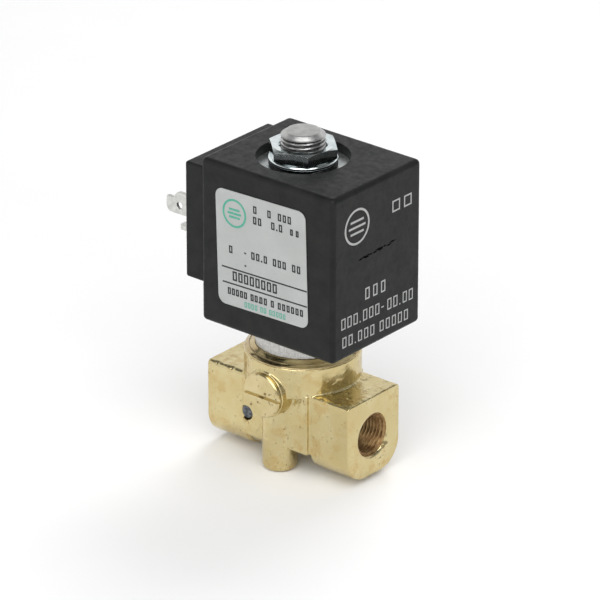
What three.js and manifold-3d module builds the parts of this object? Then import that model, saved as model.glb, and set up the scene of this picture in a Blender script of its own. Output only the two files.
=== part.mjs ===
// Direct-acting 2/2 solenoid valve: brass body with two G1/8 ports, armature stem and plug-in coil.
//
// Frame: millimetres, +Z up along the stem. X runs along the flow, with the outlet at +X and the coil's
// plug at -X. The override screw and the coil's label face -Y. The origin is on the stem's axis, in the
// plane of the two feet under the body.

import * as THREE from "three";
import { RoundedBoxGeometry } from "three/addons/geometries/RoundedBoxGeometry.js";
import { mergeVertices } from "three/addons/utils/BufferGeometryUtils.js";
import Module from "manifold-3d";

const wasm = await Module();
wasm.setup();

// ---- Driving dimensions -------------------------------------------------------------------------

// Body
const BODY_HALF_LENGTH = 20.15;
const BODY_HALF_WIDTH = 8.95;
const BODY_BOTTOM = 1.3;
const BODY_TOP = 20.25;
const BODY_LOWER_RADIUS = 6.2;
const BODY_UPPER_RADIUS = 1.0;
const PORT_Z = 10.76;
const CORE_HALF_LENGTH = 9.3;
const CORE_HALF_WIDTH = 9.8;
const CORE_BOTTOM = 6.0;
const CORE_TOP = 20.1;
const INLET_WEB_END = -4.2;
const INLET_WEB_BOTTOM = 2.0;
const BOSS_RADIUS = 13.05;
const BOSS_BOTTOM = 19.2;
const BOSS_RIM = 26.8;
const BOSS_TOP = 28.05;
const FOOT_RADIUS = 4.0;
const FOOT_Y = 7.87;
const FOOT_CHAMFER = 0.9;
const FOOT_HOLE_RADIUS = 1.65;
const FOOT_HOLE_DEPTH = 6.5;

// G1/8 port threads are left as plain bores of their major diameter.
const PORT_RADIUS = 4.86;
const PORT_DEPTH = 10.0;
const PORT_CHAMFER = 0.5;

// Flow path
const PASSAGE_RADIUS = 1.75;
const ORIFICE_RADIUS = 1.5;
const SEAT_Z = 16.6;
const SEAT_RADIUS = 2.3;
const CHAMBER_RADIUS = 7.5;
const CHAMBER_BOTTOM = 14.9;
const COLLAR_BORE_RADIUS = 10.05;
const COLLAR_BORE_BOTTOM = 22.6;

// Stem
const TUBE_RADIUS = 5.0;
const TUBE_WALL = 0.5;
const TUBE_BOTTOM = 24.4;
const TUBE_TOP = 58.0;
const COLLAR_RADIUS = 10.62;
const COLLAR_TOP = 33.1;
const CORE_FACE_Z = 48.0;
const STUD_MAJOR_RADIUS = 4.92;
const STUD_MINOR_RADIUS = 4.36;
const STUD_PITCH = 1.0;
const STUD_THREAD_START = 69.9;
const STUD_THREAD_TURNS = 7;
const STUD_SHOULDER_RADIUS = 4.62;
const STUD_SHOULDER_Z = 77.15;
const STUD_TOP = 77.9;
const STUD_TOP_RADIUS = 3.75;
const LIFT = 1.5;
const PLUNGER_RADIUS = 4.4;
const PLUNGER_TOP = CORE_FACE_Z - LIFT - 0.1;
const SPRING_POCKET_RADIUS = 2.2;
const SPRING_POCKET_TOP = 53.0;
const SPRING_POCKET_BOTTOM = 40.0;

// Coil
const COIL_BOTTOM = 33.2;
const COIL_TOP = 72.0;
const COIL_MINUS_X = -16.5;
const COIL_PLUS_X = 20.85;
const COIL_HALF_WIDTH = 15.0;
const COIL_EDGE_RADIUS = 1.15;
const PLUG_FACE_X = -21.85;
const PLUG_HALF_WIDTH = 14.0;
const PLUG_BOTTOM = 41.75;
const PLUG_TOP = 69.25;
const RECESS_RADIUS = 10.4;
const RECESS_FLOOR = 69.8;
const COIL_BORE_RADIUS = 5.15;

// Plug contacts
const CONTACT_Z = 56.0;
const CONTACT_SPACING = 18.0;
const CONTACT_THICKNESS = 0.8;
const CONTACT_HALF_WIDTH = 2.65;
const CONTACT_TIP_RISE = 1.1;
const CONTACT_LENGTH = 9.45;
const GROUND_Z = 46.65;
const GROUND_THICKNESS = 1.2;
const GROUND_HALF_WIDTH = 3.0;
const GROUND_LENGTH = 11.25;
const CONTACT_TAIL_X = -13.9;
const CONTACT_TAIL_HALF_WIDTH = 1.5;

// Top nut and washers
const WAVE_WASHER_RADIUS = 7.6;
const FLAT_WASHER_RADIUS = 7.7;
const FLAT_WASHER_BOTTOM = 71.3;
const NUT_ACROSS_FLATS = 13.9;
const NUT_BOTTOM = 72.15;
const NUT_TOP = 75.0;
const NUT_ANGLE = -43;

// Manual override
const OVERRIDE_Z = 19.5;
const OVERRIDE_FACE_Y = -14.5;
const OVERRIDE_HEAD_RADIUS = 5.15;
const OVERRIDE_HEAD_BACK_Y = -13.6;
const OVERRIDE_BOSS_RADIUS = 5.4;
const OVERRIDE_BOSS_FACE_Y = -13.5;
const OVERRIDE_STEM_RADIUS = 2.4;
const OVERRIDE_TIP_RADIUS = 1.6;
const OVERRIDE_STEP_Y = -9.6;
const OVERRIDE_TIP_Y = -5.2;
const OVERRIDE_SLOT_WIDTH = 1.15;
const OVERRIDE_SLOT_DEPTH = 0.6;

// Label
const LABEL_WIDTH = 25.3;
const LABEL_HEIGHT = 27.2;
const LABEL_THICKNESS = 0.15;
const LABEL_RADIUS = 2.0;
const LABEL_X = 0.95;
const LABEL_Z = 53.15;
const LABEL_TILT_DEG = -1.7;

const CLEARANCE = 0.05;
const AXIS_X = new THREE.Vector3(1, 0, 0);
const AXIS_Y = new THREE.Vector3(0, 1, 0);
const AXIS_Z = new THREE.Vector3(0, 0, 1);

// ---- Materials ----------------------------------------------------------------------------------

function material(color, roughness, metalness) {
  return new THREE.MeshStandardMaterial({ color, roughness, metalness });
}

const BRASS = material(0xcdbd8a, 0.38, 1.0);
const STAINLESS = material(0xb4b2af, 0.35, 1.0);
const ZINC = material(0xc6cccb, 0.25, 1.0);
const SPRING_STEEL = material(0x4a4c4c, 0.45, 1.0);
const COPPER = material(0xb46a3c, 0.4, 1.0);
const TINNED = material(0xb9b6ae, 0.35, 1.0);
const BLACK_PLASTIC = material(0x3a3c3a, 0.55, 0.0);
const PALE_PLASTIC = material(0xd8d3c4, 0.6, 0.0);
const RUBBER = material(0x1c1c1c, 0.8, 0.0);
const LABEL_FILM = material(0xbec0be, 0.5, 0.0);

// ---- Solids -------------------------------------------------------------------------------------

// A closed three.js geometry as a solid that can be joined and cut.
function solid(geometry) {
  const plain = new THREE.BufferGeometry();
  plain.setAttribute("position", geometry.getAttribute("position"));
  plain.setIndex(geometry.index);
  const merged = mergeVertices(plain, 1e-4);
  const mesh = new wasm.Mesh({
    numProp: 3,
    vertProperties: new Float32Array(merged.attributes.position.array),
    triVerts: new Uint32Array(merged.index.array),
  });
  return new wasm.Manifold(mesh);
}

function join(first, ...others) {
  return others.reduce((whole, other) => whole.add(other), first);
}

function cut(first, ...tools) {
  return tools.reduce((whole, tool) => whole.subtract(tool), first);
}

function box(x0, x1, y0, y1, z0, z1) {
  const geometry = new THREE.BoxGeometry(x1 - x0, y1 - y0, z1 - z0);
  geometry.translate((x0 + x1) / 2, (y0 + y1) / 2, (z0 + z1) / 2);
  return solid(geometry);
}

function roundedBox(x0, x1, y0, y1, z0, z1, radius) {
  const geometry = new RoundedBoxGeometry(x1 - x0, y1 - y0, z1 - z0, 3, radius);
  geometry.translate((x0 + x1) / 2, (y0 + y1) / 2, (z0 + z1) / 2);
  return solid(geometry);
}

// Turns a geometry made about Z so that its axis points along X or Y.
function turnAxis(geometry, axis) {
  const turn = new THREE.Quaternion().setFromUnitVectors(AXIS_Z, axis);
  return geometry.applyQuaternion(turn);
}

// A turned piece about Z. The outline's points are [radius, height], going up the outer side.
function turned(points, segments = 48) {
  const outline = points.map(([radius, height]) => new THREE.Vector2(radius, height));
  const geometry = new THREE.LatheGeometry(outline, segments);
  geometry.rotateX(Math.PI / 2);
  return geometry;
}

// A turned piece with a hole through it: its outline closes on itself.
function turnedRing(points, segments = 48) {
  return turned([...points, points[0]], segments);
}

function ring(innerRadius, outerRadius, z0, z1, segments = 48) {
  const outline = [
    [innerRadius, z0],
    [outerRadius, z0],
    [outerRadius, z1],
    [innerRadius, z1],
  ];
  return turnedRing(outline, segments);
}

function rod(radius, from, to, axis = AXIS_Z, segments = 32) {
  const outline = [
    [0, from],
    [radius, from],
    [radius, to],
    [0, to],
  ];
  return solid(turnAxis(turned(outline, segments), axis));
}

// A flat outline in the plane of two axes, pushed along the third.
function plate(shape, thickness, across, up, start, curveSegments = 6) {
  const settings = { depth: thickness, bevelEnabled: false, curveSegments };
  const geometry = new THREE.ExtrudeGeometry(shape, settings);
  const outward = new THREE.Vector3().crossVectors(across, up);
  geometry.applyMatrix4(new THREE.Matrix4().makeBasis(across, up, outward));
  geometry.translate(outward.x * start, outward.y * start, outward.z * start);
  return solid(geometry);
}

// A rectangle whose corners have their own radii: lower left, lower right, upper right, upper left.
function roundedRectangle(x0, x1, y0, y1, radii) {
  const [lowerLeft, lowerRight, upperRight, upperLeft] = radii;
  const shape = new THREE.Shape();
  shape.moveTo(x0 + lowerLeft, y0);
  shape.lineTo(x1 - lowerRight, y0);
  shape.absarc(x1 - lowerRight, y0 + lowerRight, lowerRight, -Math.PI / 2, 0, false);
  shape.lineTo(x1, y1 - upperRight);
  shape.absarc(x1 - upperRight, y1 - upperRight, upperRight, 0, Math.PI / 2, false);
  shape.lineTo(x0 + upperLeft, y1);
  shape.absarc(x0 + upperLeft, y1 - upperLeft, upperLeft, Math.PI / 2, Math.PI, false);
  shape.lineTo(x0, y0 + lowerLeft);
  shape.absarc(x0 + lowerLeft, y0 + lowerLeft, lowerLeft, Math.PI, 1.5 * Math.PI, false);
  return shape;
}

// A solid or a geometry as a named mesh.
function piece(name, shape, look) {
  let geometry = shape;
  if (!shape.isBufferGeometry) {
    const { vertProperties, triVerts, numProp } = shape.getMesh();
    const positions = new Float32Array((vertProperties.length / numProp) * 3);
    for (let i = 0; i < positions.length / 3; i++) {
      positions.set(vertProperties.subarray(i * numProp, i * numProp + 3), i * 3);
    }
    geometry = new THREE.BufferGeometry();
    geometry.setAttribute("position", new THREE.BufferAttribute(positions, 3));
    geometry.setIndex(new THREE.BufferAttribute(new Uint32Array(triVerts), 1));
  }
  geometry.computeVertexNormals();
  const mesh = new THREE.Mesh(geometry, look);
  mesh.name = name;
  return mesh;
}

// ---- Brass body ---------------------------------------------------------------------------------

// A stretch of the body along X, with a rounded belly.
function bodyBlock(x0, x1, bottom) {
  const radii = [BODY_LOWER_RADIUS, BODY_LOWER_RADIUS, BODY_UPPER_RADIUS, BODY_UPPER_RADIUS];
  const section = roundedRectangle(-BODY_HALF_WIDTH, BODY_HALF_WIDTH, bottom, BODY_TOP, radii);
  return plate(section, x1 - x0, AXIS_Y, AXIS_Z, x0);
}

function foot(side) {
  const outline = [
    [0, 0],
    [FOOT_RADIUS - FOOT_CHAMFER, 0],
    [FOOT_RADIUS - 0.3, 0.3],
    [FOOT_RADIUS, FOOT_CHAMFER],
    [FOOT_RADIUS, BOSS_BOTTOM + 0.5],
    [0, BOSS_BOTTOM + 0.5],
  ];
  const geometry = turned(outline, 24);
  geometry.translate(0, side * FOOT_Y, 0);
  return solid(geometry);
}

function footHole(side) {
  const outline = [
    [0, -1],
    [FOOT_HOLE_RADIUS, -1],
    [FOOT_HOLE_RADIUS, FOOT_HOLE_DEPTH],
    [0, FOOT_HOLE_DEPTH + 0.9],
  ];
  const geometry = turned(outline, 16);
  geometry.translate(0, side * FOOT_Y, 0);
  return solid(geometry);
}

// The round boss that takes the stem: a bevelled lip runs up to the collar.
function stemBoss() {
  const outline = [
    [0, BOSS_BOTTOM],
    [BOSS_RADIUS - 0.4, BOSS_BOTTOM],
    [BOSS_RADIUS, BOSS_BOTTOM + 0.4],
    [BOSS_RADIUS, BOSS_RIM - 0.3],
    [BOSS_RADIUS - 0.4, BOSS_RIM],
    [BOSS_RADIUS - 1.15, BOSS_RIM + 0.85],
    [BOSS_RADIUS - 1.35, BOSS_RIM + 0.75],
    [BOSS_RADIUS - 2.2, BOSS_TOP],
    [0, BOSS_TOP],
  ];
  return solid(turned(outline, 56));
}

function portBore(side) {
  const deep = BODY_HALF_LENGTH - PORT_DEPTH;
  const mouth = PORT_RADIUS + PORT_CHAMFER;
  const outline = [
    [0, deep],
    [PORT_RADIUS, deep],
    [PORT_RADIUS, BODY_HALF_LENGTH - PORT_CHAMFER],
    [mouth + 0.5, BODY_HALF_LENGTH + 0.5],
    [0, BODY_HALF_LENGTH + 0.5],
  ];
  const geometry = turnAxis(turned(outline, 32), side > 0 ? AXIS_X : AXIS_X.clone().negate());
  geometry.translate(0, 0, PORT_Z);
  return solid(geometry);
}

// The pressure side runs along X under the seat and up through the orifice.
function inletPassage() {
  const alongX = rod(PASSAGE_RADIUS, -11, ORIFICE_RADIUS, AXIS_X, 20).translate([0, 0, PORT_Z]);
  const up = rod(ORIFICE_RADIUS, PORT_Z, SEAT_Z + 1, AXIS_Z, 20);
  return join(alongX, up);
}

// The outlet side leaves the chamber round the seat and slants down to the port.
function outletPassage() {
  const start = new THREE.Vector3(5.4, 0, CHAMBER_BOTTOM + 0.6);
  const end = new THREE.Vector3(11.0, 0, PORT_Z + 1.2);
  const direction = end.clone().sub(start);
  const length = direction.length();
  const geometry = turned([[0, 0], [1.5, 0], [1.5, length], [0, length]], 20);
  geometry.applyQuaternion(new THREE.Quaternion().setFromUnitVectors(AXIS_Z, direction.normalize()));
  geometry.translate(start.x, start.y, start.z);
  return solid(geometry);
}

// The chamber is turned from above and leaves the seat standing in its middle.
function valveChamber() {
  const outline = [
    [SEAT_RADIUS, CHAMBER_BOTTOM],
    [CHAMBER_RADIUS, CHAMBER_BOTTOM],
    [CHAMBER_RADIUS, COLLAR_BORE_BOTTOM],
    [COLLAR_BORE_RADIUS, COLLAR_BORE_BOTTOM],
    [COLLAR_BORE_RADIUS, BOSS_TOP + 1],
    [0, BOSS_TOP + 1],
    [0, SEAT_Z],
    [SEAT_RADIUS - 0.5, SEAT_Z],
    [SEAT_RADIUS - 0.3, SEAT_Z - 0.3],
    [SEAT_RADIUS, CHAMBER_BOTTOM],
  ];
  return solid(turned(outline, 36));
}

function overrideBore() {
  const shift = [0, 0, OVERRIDE_Z];
  const outer = rod(
    OVERRIDE_STEM_RADIUS + 0.1, OVERRIDE_BOSS_FACE_Y - 1, OVERRIDE_STEP_Y + 0.1, AXIS_Y, 24,
  );
  const inner = rod(OVERRIDE_TIP_RADIUS + 0.2, OVERRIDE_STEP_Y, -6.5, AXIS_Y, 20);
  return join(outer.translate(shift), inner.translate(shift));
}

const PLUG_HOLE = { x: -8.2, z: 11.1, radius: 1.7, depth: 2.6 };

function passagePlugHole() {
  const back = -CORE_HALF_WIDTH + PLUG_HOLE.depth;
  const hole = rod(PLUG_HOLE.radius, -CORE_HALF_WIDTH - 1, back, AXIS_Y, 20);
  return hole.translate([PLUG_HOLE.x, 0, PLUG_HOLE.z]);
}

function valveBody() {
  const core = box(
    -CORE_HALF_LENGTH, CORE_HALF_LENGTH, -CORE_HALF_WIDTH, CORE_HALF_WIDTH, CORE_BOTTOM, CORE_TOP,
  );
  const overrideBoss = rod(OVERRIDE_BOSS_RADIUS, OVERRIDE_BOSS_FACE_Y, -8.5, AXIS_Y, 32);
  const whole = join(
    core,
    bodyBlock(-BODY_HALF_LENGTH, -CORE_HALF_LENGTH, BODY_BOTTOM),
    bodyBlock(-CORE_HALF_LENGTH - 0.2, INLET_WEB_END, INLET_WEB_BOTTOM),
    bodyBlock(CORE_HALF_LENGTH, BODY_HALF_LENGTH, BODY_BOTTOM),
    foot(-1),
    foot(1),
    stemBoss(),
    overrideBoss.translate([0, 0, OVERRIDE_Z]),
  );
  return cut(
    whole,
    portBore(-1),
    portBore(1),
    inletPassage(),
    outletPassage(),
    valveChamber(),
    overrideBore(),
    passagePlugHole(),
    footHole(-1),
    footHole(1),
  );
}

function passagePlug() {
  const face = -CORE_HALF_WIDTH + 0.35;
  const back = -CORE_HALF_WIDTH + PLUG_HOLE.depth - CLEARANCE;
  const outline = [
    [0, face],
    [PLUG_HOLE.radius - 0.4, face],
    [PLUG_HOLE.radius - CLEARANCE, face + 0.35],
    [PLUG_HOLE.radius - CLEARANCE, back],
    [0, back],
  ];
  return turnAxis(turned(outline, 20), AXIS_Y).translate(PLUG_HOLE.x, 0, PLUG_HOLE.z);
}

// ---- Stem: collar, tube, fixed core and its studded end -------------------------------------------

function guideCollar() {
  return turnedRing([
    [6.2, 24.3],
    [9.6, 24.3],
    [10.0, 24.7],
    [10.0, BOSS_TOP + CLEARANCE],
    [COLLAR_RADIUS, BOSS_TOP + CLEARANCE],
    [COLLAR_RADIUS, COLLAR_TOP - 0.4],
    [COLLAR_RADIUS - 0.4, COLLAR_TOP],
    [TUBE_RADIUS + CLEARANCE, COLLAR_TOP],
    [TUBE_RADIUS + CLEARANCE, 25.55],
    [6.2, 25.55],
  ], 40);
}

function armatureTube() {
  return turnedRing([
    [TUBE_RADIUS - TUBE_WALL, TUBE_BOTTOM],
    [6.1, TUBE_BOTTOM],
    [6.1, TUBE_BOTTOM + 1.1],
    [TUBE_RADIUS, TUBE_BOTTOM + 1.1],
    [TUBE_RADIUS, TUBE_TOP],
    [TUBE_RADIUS - TUBE_WALL, TUBE_TOP],
  ], 32);
}

// Thread crests and roots as stacked cones, one pair for each turn.
function studThread() {
  const points = [];
  for (let turn = 0; turn < STUD_THREAD_TURNS; turn++) {
    const z = STUD_THREAD_START + turn * STUD_PITCH;
    points.push([STUD_MINOR_RADIUS, z]);
    points.push([STUD_MAJOR_RADIUS, z + STUD_PITCH / 2]);
  }
  return points;
}

function fixedCore() {
  const spigot = TUBE_RADIUS - TUBE_WALL - CLEARANCE;
  return turned([
    [0, SPRING_POCKET_TOP],
    [SPRING_POCKET_RADIUS, SPRING_POCKET_TOP],
    [SPRING_POCKET_RADIUS, CORE_FACE_Z],
    [2.95, CORE_FACE_Z],
    [2.95, CORE_FACE_Z + 1.1],
    [3.65, CORE_FACE_Z + 1.1],
    [3.65, CORE_FACE_Z],
    [spigot, CORE_FACE_Z],
    [spigot, TUBE_TOP + CLEARANCE],
    [TUBE_RADIUS, TUBE_TOP + CLEARANCE],
    [TUBE_RADIUS, STUD_THREAD_START - 0.5],
    ...studThread(),
    [STUD_MINOR_RADIUS, STUD_THREAD_START + STUD_THREAD_TURNS * STUD_PITCH],
    [STUD_SHOULDER_RADIUS, STUD_SHOULDER_Z],
    [STUD_TOP_RADIUS, STUD_TOP],
    [0, STUD_TOP],
  ], 28);
}

function shadingRing() {
  return ring(3.0, 3.6, CORE_FACE_Z, CORE_FACE_Z + 1.0, 24);
}

function bodySealRing() {
  const thickness = 0.8;
  const geometry = new THREE.TorusGeometry(8.75, thickness, 6, 28);
  return geometry.translate(0, 0, COLLAR_BORE_BOTTOM + thickness + CLEARANCE);
}

// ---- Plunger, its seal and spring ---------------------------------------------------------------

const SEAL_BOTTOM = SEAT_Z + CLEARANCE;
const SEAL_TOP = 18.9;
const SEAL_RADIUS = 2.5;

function plunger() {
  const neck = 3.3;
  return turned([
    [0, SEAL_TOP + CLEARANCE],
    [SEAL_RADIUS + CLEARANCE, SEAL_TOP + CLEARANCE],
    [SEAL_RADIUS + CLEARANCE, SEAL_BOTTOM + 1],
    [neck - 0.3, SEAL_BOTTOM + 1],
    [neck, SEAL_BOTTOM + 1.3],
    [neck, 20.9],
    [PLUNGER_RADIUS, 20.9],
    [PLUNGER_RADIUS, PLUNGER_TOP],
    [SPRING_POCKET_RADIUS, PLUNGER_TOP],
    [SPRING_POCKET_RADIUS, SPRING_POCKET_BOTTOM],
    [0, SPRING_POCKET_BOTTOM],
  ], 24);
}

function plungerSeal() {
  return rod(SEAL_RADIUS, SEAL_BOTTOM, SEAL_TOP, AXIS_Z, 24);
}

class Helix extends THREE.Curve {
  constructor(radius, bottom, top, turns) {
    super();
    Object.assign(this, { radius, bottom, top, turns });
  }

  getPoint(t, target = new THREE.Vector3()) {
    const angle = 2 * Math.PI * this.turns * t;
    const height = this.bottom + t * (this.top - this.bottom);
    return target.set(this.radius * Math.cos(angle), this.radius * Math.sin(angle), height);
  }
}

function plungerSpring() {
  const wire = 0.25;
  const turns = 6;
  const path = new Helix(1.75, SPRING_POCKET_BOTTOM + 0.35, SPRING_POCKET_TOP - 0.35, turns);
  const section = new THREE.Shape();
  section.absarc(0, 0, wire, 0, 2 * Math.PI, false);
  const settings = { steps: turns * 9, extrudePath: path, curveSegments: 2, bevelEnabled: false };
  return solid(new THREE.ExtrudeGeometry(section, settings));
}

// ---- Coil -----------------------------------------------------------------------------------------

// A contact seen on its wide side: its length runs along the first axis, away from the stem. The tail
// that runs into the coil is drawn first, and the given points go round the blade from there.
function contactOutline(halfWidth, bladePoints) {
  const root = -PLUG_FACE_X - 1;
  const tail = -CONTACT_TAIL_X;
  const shape = new THREE.Shape();
  shape.moveTo(tail, -CONTACT_TAIL_HALF_WIDTH);
  shape.lineTo(root, -CONTACT_TAIL_HALF_WIDTH);
  shape.lineTo(root, -halfWidth);
  bladePoints.forEach(([along, across]) => shape.lineTo(along, across));
  shape.lineTo(root, halfWidth);
  shape.lineTo(root, CONTACT_TAIL_HALF_WIDTH);
  shape.lineTo(tail, CONTACT_TAIL_HALF_WIDTH);
  return shape;
}

// The upright blade is notched above its tip, and a round hole goes through it.
function lineContactOutline() {
  const end = -PLUG_FACE_X + CONTACT_LENGTH;
  const shape = contactOutline(CONTACT_HALF_WIDTH, [
    [end - 0.9, -CONTACT_HALF_WIDTH],
    [end - 0.3, -CONTACT_HALF_WIDTH + 0.5],
    [end, -CONTACT_HALF_WIDTH + 1.3],
    [end, CONTACT_TIP_RISE - 0.3],
    [end - 0.3, CONTACT_TIP_RISE],
    [end - 2.0, CONTACT_TIP_RISE],
    [end - 3.0, CONTACT_HALF_WIDTH - 0.3],
    [end - 3.7, CONTACT_HALF_WIDTH],
  ]);
  const hole = new THREE.Path();
  hole.absarc(end - 3.8, -0.55, 0.85, 0, 2 * Math.PI, true);
  shape.holes.push(hole);
  return shape;
}

function groundContactOutline() {
  const end = -PLUG_FACE_X + GROUND_LENGTH;
  const chamfer = 0.35;
  return contactOutline(GROUND_HALF_WIDTH, [
    [end - chamfer, -GROUND_HALF_WIDTH],
    [end, -GROUND_HALF_WIDTH + chamfer],
    [end, GROUND_HALF_WIDTH - chamfer],
    [end - chamfer, GROUND_HALF_WIDTH],
  ]);
}

const TOWARD_PLUG = AXIS_X.clone().negate();

function lineTerminal(y) {
  const start = -CONTACT_THICKNESS / 2;
  const blade = plate(lineContactOutline(), CONTACT_THICKNESS, TOWARD_PLUG, AXIS_Z, start);
  return blade.translate([0, y, CONTACT_Z]);
}

function groundTerminal() {
  const start = -GROUND_THICKNESS / 2;
  const blade = plate(groundContactOutline(), GROUND_THICKNESS, TOWARD_PLUG, AXIS_Y, start);
  return blade.translate([0, 0, GROUND_Z]);
}

const CONTACT_GAP = 0.1;
const CAVITY = { x0: -14.9, x1: 19.2, halfWidth: 13.2, top: RECESS_FLOOR };

// The pocket round a contact: wide where the blade's root sits, narrow where its tail runs inward.
function contactPocket(y, z, upright, halfWidth, thickness) {
  const thin = thickness / 2 + CONTACT_GAP;
  const slot = (x0, x1, half) => {
    const wide = half + CONTACT_GAP;
    const [dy, dz] = upright ? [thin, wide] : [wide, thin];
    return box(x0, x1, y - dy, y + dy, z - dz, z + dz);
  };
  return join(
    slot(PLUG_FACE_X - 1, PLUG_FACE_X + 1 + CONTACT_GAP, halfWidth),
    slot(PLUG_FACE_X + 1, CAVITY.x0 + 0.5, CONTACT_TAIL_HALF_WIDTH),
  );
}

function linePocket(y) {
  return contactPocket(y, CONTACT_Z, true, CONTACT_HALF_WIDTH, CONTACT_THICKNESS);
}

const INSERT = { radius: 2.2, bore: 1.35, length: 5.5 };

function connectorInsert() {
  const face = -PLUG_FACE_X;
  const sleeve = ring(INSERT.bore, INSERT.radius, face - INSERT.length, face - 0.1, 20);
  return turnAxis(sleeve, TOWARD_PLUG).translate(0, 0, CONTACT_Z);
}

function insertPocket() {
  const face = -PLUG_FACE_X;
  const inner = face - INSERT.length - CLEARANCE;
  const pocket = rod(INSERT.radius + CLEARANCE, inner, face + 1, TOWARD_PLUG, 20);
  return pocket.translate([0, 0, CONTACT_Z]);
}

function coilHousing() {
  const shell = roundedBox(
    COIL_MINUS_X, COIL_PLUS_X, -COIL_HALF_WIDTH, COIL_HALF_WIDTH, COIL_BOTTOM, COIL_TOP, COIL_EDGE_RADIUS,
  );
  const plugBase = roundedBox(
    PLUG_FACE_X, COIL_MINUS_X + 3, -PLUG_HALF_WIDTH, PLUG_HALF_WIDTH, PLUG_BOTTOM, PLUG_TOP, 0.6,
  );
  const cavity = box(
    CAVITY.x0, CAVITY.x1, -CAVITY.halfWidth, CAVITY.halfWidth, COIL_BOTTOM - 1, CAVITY.top,
  );
  return cut(
    join(shell, plugBase),
    cavity,
    rod(RECESS_RADIUS, CAVITY.top - 1, COIL_TOP + 1, AXIS_Z, 64),
    insertPocket(),
    linePocket(-CONTACT_SPACING / 2),
    linePocket(CONTACT_SPACING / 2),
    contactPocket(0, GROUND_Z, false, GROUND_HALF_WIDTH, GROUND_THICKNESS),
  );
}

// The flux path: one steel strap bent into a C round the winding, with the stem through both arms.
function yokeFrame() {
  const strap = 1.6;
  const halfWidth = 12.5;
  const back = CAVITY.x1 - 0.2;
  const front = -13.0;
  const top = RECESS_FLOOR;
  const bottom = COIL_BOTTOM + CLEARANCE;
  const shape = new THREE.Shape();
  shape.moveTo(front, bottom);
  shape.lineTo(back - 2, bottom);
  shape.absarc(back - 2, bottom + 2, 2, -Math.PI / 2, 0, false);
  shape.lineTo(back, top - 2);
  shape.absarc(back - 2, top - 2, 2, 0, Math.PI / 2, false);
  shape.lineTo(front, top);
  shape.lineTo(front, top - strap);
  shape.lineTo(back - strap, top - strap);
  shape.lineTo(back - strap, bottom + strap);
  shape.lineTo(front, bottom + strap);
  const strapSolid = plate(shape, 2 * halfWidth, AXIS_X, AXIS_Z, -halfWidth);
  return cut(strapSolid, rod(COIL_BORE_RADIUS, bottom - 1, top + 1, AXIS_Z, 40));
}

const SPOOL = { bottom: 34.95, top: 68.1, flange: 11.8, hub: 6.2, cheek: 1.0 };

function coilBobbin() {
  return turnedRing([
    [COIL_BORE_RADIUS, SPOOL.bottom],
    [SPOOL.flange, SPOOL.bottom],
    [SPOOL.flange, SPOOL.bottom + SPOOL.cheek],
    [SPOOL.hub, SPOOL.bottom + SPOOL.cheek],
    [SPOOL.hub, SPOOL.top - SPOOL.cheek],
    [SPOOL.flange, SPOOL.top - SPOOL.cheek],
    [SPOOL.flange, SPOOL.top],
    [COIL_BORE_RADIUS, SPOOL.top],
  ], 32);
}

function coilWinding() {
  const bottom = SPOOL.bottom + SPOOL.cheek + CLEARANCE;
  const top = SPOOL.top - SPOOL.cheek - CLEARANCE;
  return ring(SPOOL.hub + CLEARANCE, SPOOL.flange - 0.5, bottom, top, 32);
}

function coilLabel() {
  const corner = [LABEL_RADIUS, LABEL_RADIUS, LABEL_RADIUS, LABEL_RADIUS];
  const shape = roundedRectangle(
    -LABEL_WIDTH / 2, LABEL_WIDTH / 2, -LABEL_HEIGHT / 2, LABEL_HEIGHT / 2, corner,
  );
  const start = COIL_HALF_WIDTH + CLEARANCE;
  const film = plate(shape, LABEL_THICKNESS, AXIS_X, AXIS_Z, start);
  return film.rotate([0, LABEL_TILT_DEG, 0]).translate([LABEL_X, 0, LABEL_Z]);
}

// ---- Washers, nut and override --------------------------------------------------------------------

// A spring washer that waves up and down three times round its ring.
function waveWasher() {
  const amplitude = 0.35;
  const middle = (RECESS_FLOOR + FLAT_WASHER_BOTTOM) / 2;
  const geometry = ring(TUBE_RADIUS + 0.2, WAVE_WASHER_RADIUS, middle - 0.35, middle + 0.35, 48);
  const position = geometry.attributes.position;
  for (let i = 0; i < position.count; i++) {
    const angle = Math.atan2(position.getY(i), position.getX(i));
    position.setZ(i, position.getZ(i) + amplitude * Math.cos(3 * angle));
  }
  return geometry;
}

function flatWasher() {
  const top = NUT_BOTTOM - CLEARANCE;
  return turnedRing([
    [TUBE_RADIUS + 0.2, FLAT_WASHER_BOTTOM],
    [FLAT_WASHER_RADIUS - 0.1, FLAT_WASHER_BOTTOM],
    [FLAT_WASHER_RADIUS, FLAT_WASHER_BOTTOM + 0.1],
    [FLAT_WASHER_RADIUS, top - 0.25],
    [FLAT_WASHER_RADIUS - 0.25, top],
    [TUBE_RADIUS + 0.2, top],
  ], 40);
}

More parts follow.
